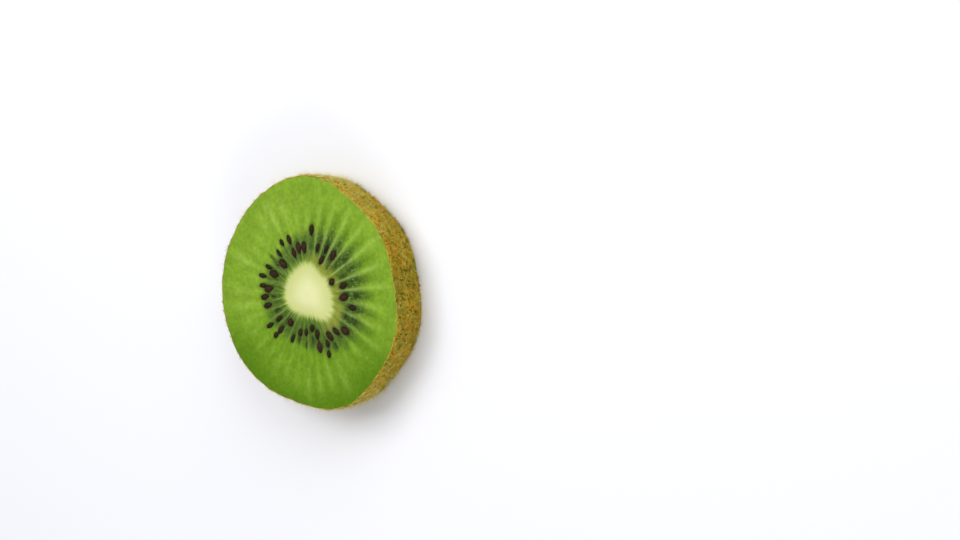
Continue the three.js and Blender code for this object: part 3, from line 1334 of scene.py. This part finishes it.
@dataclass
class Fuzz:
    """One kind of short curved hairs on the skin, felted together in tufts of like colour."""

    form: SliceForm
    finish: HairFinish
    pits: Pits
    name: str
    count: int
    lengths: tuple[float, float]
    root_radius: float
    lift_degrees: tuple[float, float]
    tints: tuple[float, float]
    random_start: int
    tuft: int
    sides: int = 3
    joints: int = 3
    bend: float = 0.45
    tuft_spread: float = 0.075 * MM
    heading_spread: float = 0.25
    tint_spread: float = 0.06
    cloud_tint: float = 0.56
    cloud_scale: float = 850.0
    # Hairs paler towards bearings 0 and 180 degrees, darker towards 90 and -90: painted light towards
    # bearing 0, paler fuzz towards 180
    painted_light_and_fuzz_tint: float = 0.20
    painted_light_and_fuzz_middle: float = 0.1
    girths: tuple[float, float] = (0.7, 1.35)
    margin: float = 0.12 * MM
    bare_depth: float = 0.05
    lowest: float = 0.01 * MM
    same_point: float = 1e-4

    def _hair(self) -> tuple[bmesh.types.BMesh, np.ndarray]:
        """Model one straight hair of length 1 and root radius 1 along +Z.

        Returns:
            The hair's shape, and its points.
        """
        work = bmesh.new()
        bmesh.ops.create_circle(work, segments=self.sides, radius=1.0, cap_ends=True)
        ring = work.edges[:]
        for joint in range(1, self.joints + 1):
            grown = bmesh.ops.extrude_edge_only(work, edges=ring)["geom"]
            verts = [item for item in grown if isinstance(item, bmesh.types.BMVert)]
            ring = [item for item in grown if isinstance(item, bmesh.types.BMEdge)]
            narrow = (self.joints - joint) / (self.joints - joint + 1)
            bmesh.ops.scale(work, verts=verts, vec=(narrow, narrow, 1.0))
            bmesh.ops.translate(work, verts=verts, vec=(0.0, 0.0, 1.0 / self.joints))
        bmesh.ops.remove_doubles(work, verts=work.verts, dist=self.same_point)
        bmesh.ops.recalc_face_normals(work, faces=work.faces)
        work.verts.index_update()
        return work, np.array([vert.co[:] for vert in work.verts])

    def _tufted(
        self, draw: np.random.Generator, low: float, high: float, spread: float
    ) -> np.ndarray:
        """Draw a number for each tuft, and let its hairs spread about it."""
        shared = np.repeat(draw.uniform(low, high, self.count // self.tuft), self.tuft)
        return shared + draw.normal(0.0, spread, self.count)

    def build(self) -> bpy.types.Object:
        """Build the piece.

        Returns:
            All the hairs of this kind as one piece.
        """
        draw = np.random.default_rng(self.random_start)
        template, shape = self._hair()
        top = self.form.rim_height - self.margin
        bearing = self._tufted(draw, 0.0, 2.0 * math.pi, self.tuft_spread / self.form.face_radius)
        height = np.clip(self._tufted(draw, self.margin, top, self.tuft_spread), self.margin, top)
        length = draw.uniform(*self.lengths, self.count)[:, None]
        root = self.form.place(self.form.edge_radius(bearing), bearing, height)
        flat = np.zeros(self.count)
        out = np.stack([np.cos(bearing), np.sin(bearing), flat], 1)
        side = np.stack([-np.sin(bearing), np.cos(bearing), flat], 1)
        heading = self._tufted(draw, 0.0, 2.0 * math.pi, self.heading_spread)
        lift = np.radians(draw.uniform(*self.lift_degrees, self.count))[:, None]
        along = np.cos(heading)[:, None] * side + np.outer(np.sin(heading), (0.0, 0.0, 1.0))
        direction = np.cos(lift) * along + np.sin(lift) * out
        across = np.cross(direction, out)
        across /= np.linalg.norm(across, axis=1)[:, None]
        upward = np.cross(across, direction)
        curl = self.bend * draw.uniform(-1.0, 1.0, self.count)[:, None] * length * across
        x, y, z = (shape[None, :, axis, None] for axis in range(3))
        points = root[:, None] + z * (length * direction)[:, None] + z**2 * curl[:, None]
        girth = self.root_radius * draw.uniform(*self.girths, self.count)[:, None, None]
        points = points + girth * (x * across[:, None] + y * upward[:, None])
        points[..., 2] = np.clip(points[..., 2], self.lowest, self.form.thickness)
        tint = self._tufted(draw, *self.tints, self.tint_spread)
        tint += self.cloud_tint * noise_at(root, self.cloud_scale)
        # Painted light towards bearing 0, paler fuzz towards 180
        tint += self.painted_light_and_fuzz_tint * (self.painted_light_and_fuzz_middle + np.cos(2.0 * bearing))
        grown = self.pits.depth(bearing, height) <= self.bare_depth
        tint = np.clip(tint[grown], 0.0, 1.0)
        piece = repeat_template(self.name, template, points[grown], tint)
        piece.data.materials.append(self.finish.material())
        return piece


# Kinds of hair: name, number, lengths, radius at the root, degrees that they lift off the skin,
# tints from the darkest colour to the palest, start of their random draws, hairs in a tuft
HAIR_KINDS = (
    ("skin_down", 11200, (0.4 * MM, 0.9 * MM), 0.052 * MM, (3, 25), (0.28, 0.79), 11, 4),
    ("skin_hairs", 6000, (0.7 * MM, 1.4 * MM), 0.055 * MM, (5, 32), (0.36, 0.86), 12, 4),
    ("skin_fluff", 3800, (0.9 * MM, 2.1 * MM), 0.025 * MM, (38, 80), (0.85, 1.0), 13, 1),
)


# ---------------------------------------------------------------- studio


@dataclass(frozen=True)
class Softbox:
    """A square soft light that faces the slice."""

    name: str
    place: tuple[float, float, float]
    size: float
    power: float
    colour: Colour

    def build(self) -> None:
        """Hang the light."""
        light = bpy.data.lights.new(self.name, "AREA")
        light.size = self.size
        light.energy = self.power
        light.color = self.colour
        lamp = bpy.data.objects.new(self.name, light)
        lamp.location = self.place
        lamp.rotation_euler = Vector(self.place).to_track_quat("Z", "Y").to_euler()
        bpy.context.scene.collection.objects.link(lamp)


@dataclass
class Studio:
    """Plain pale floor, soft lights and the camera."""

    softboxes: tuple[Softbox, ...] = (
        Softbox("key", (0.26, 0.08, 0.52), 0.40, 2.15, (1.0, 0.99, 0.97)),
        Softbox("fill", (0.42, -0.40, 0.26), 0.5, 2.3, (0.98, 0.99, 1.0)),
        Softbox("low_fill", (-0.56, -0.16, 0.20), 0.4, 1.5, (1.0, 0.99, 0.98)),
    )
    frame_width: int = 960
    frame_height: int = 540
    lens: float = 90.0
    sensor: float = 36.0
    nearest: float = 0.01
    distance: float = 521 * MM
    azimuth_degrees: float = -0.5
    elevation_degrees: float = 47.7
    roll_degrees: float = -98.5
    axis_pixel: tuple[float, float] = (308.1, 294.1)
    floor_size: float = 3.0
    floor_drop: float = 0.03 * MM
    world_colour: Colour = (0.97, 0.98, 1.0)
    world_strength: float = 0.45

    def build(self, form: SliceForm) -> None:
        """Add the floor, the lights and the camera.

        Args:
            form: The slice's form.
        """
        self._floor()
        self._world()
        for softbox in self.softboxes:
            softbox.build()
        self._camera(Vector((*-form.middle(), form.thickness)))

    def _floor(self) -> None:
        """Lay the floor just under the slice."""
        work = bmesh.new()
        bmesh.ops.create_grid(work, x_segments=1, y_segments=1, size=self.floor_size / 2)
        bmesh.ops.translate(work, verts=work.verts, vec=(0.0, 0.0, -self.floor_drop))
        floor = new_piece("floor", work)
        floor.data.materials.append(FloorFinish().material())

    def _world(self) -> None:
        """Fill the room with even light."""
        world = bpy.data.worlds.new("studio")
        world.use_nodes = True
        background = world.node_tree.nodes["Background"]
        background.inputs["Color"].default_value = (*self.world_colour, 1.0)
        background.inputs["Strength"].default_value = self.world_strength
        bpy.context.scene.world = world
        bpy.context.scene.view_settings.view_transform = "Standard"

    def _camera(self, aim: Vector) -> None:
        """Stand the camera off the slice.

        Args:
            aim: The point that falls on axis_pixel.
        """
        azimuth = math.radians(self.azimuth_degrees)
        elevation = math.radians(self.elevation_degrees)
        towards = Vector((
            math.cos(elevation) * math.sin(azimuth),
            -math.cos(elevation) * math.cos(azimuth),
            math.sin(elevation),
        ))
        pixels = self.lens / self.sensor * self.frame_width
        ray = Vector((
            (self.axis_pixel[0] - self.frame_width / 2) / pixels,
            (self.frame_height / 2 - self.axis_pixel[1]) / pixels,
            -1.0,
        ))
        roll = Matrix.Rotation(math.radians(self.roll_degrees), 3, "Z").to_quaternion()
        aside = ray.rotation_difference(Vector((0.0, 0.0, -1.0)))
        look = towards.to_track_quat("Z", "Y") @ roll @ aside
        data = bpy.data.cameras.new("camera")
        data.lens = self.lens
        data.sensor_width = self.sensor
        data.clip_start = self.nearest
        camera = bpy.data.objects.new("camera", data)
        camera.location = aim + self.distance * towards
        camera.rotation_euler = look.to_euler()
        bpy.context.scene.collection.objects.link(camera)
        bpy.context.scene.camera = camera


# ---------------------------------------------------------------- the whole scene


def settle(piece: bpy.types.Object) -> None:
    """Let a piece ride on the slice's body and stand for its solid.

    Args:
        piece: The piece.
    """
    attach(piece, BODY)
    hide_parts(NODE)
    LOG.info("%s: %d faces", piece.name, len(piece.data.polygons))


def main() -> None:
    """Build the slice and its studio."""
    logging.basicConfig(level=logging.INFO, format="%(name)s %(message)s")
    form = SliceForm()
    Studio().build(form)
    settle(Flesh(form, FleshFinish()).build())
    for face in Face:
        settle(Seeds(form, face, SeedFinish()).build())
    pits = Pits(form)
    settle(Skin(form, SkinFinish(), pits).build())
    for kind in HAIR_KINDS:
        settle(Fuzz(form, HairFinish(), pits, *kind).build())


if __name__ == "__main__":
    main()
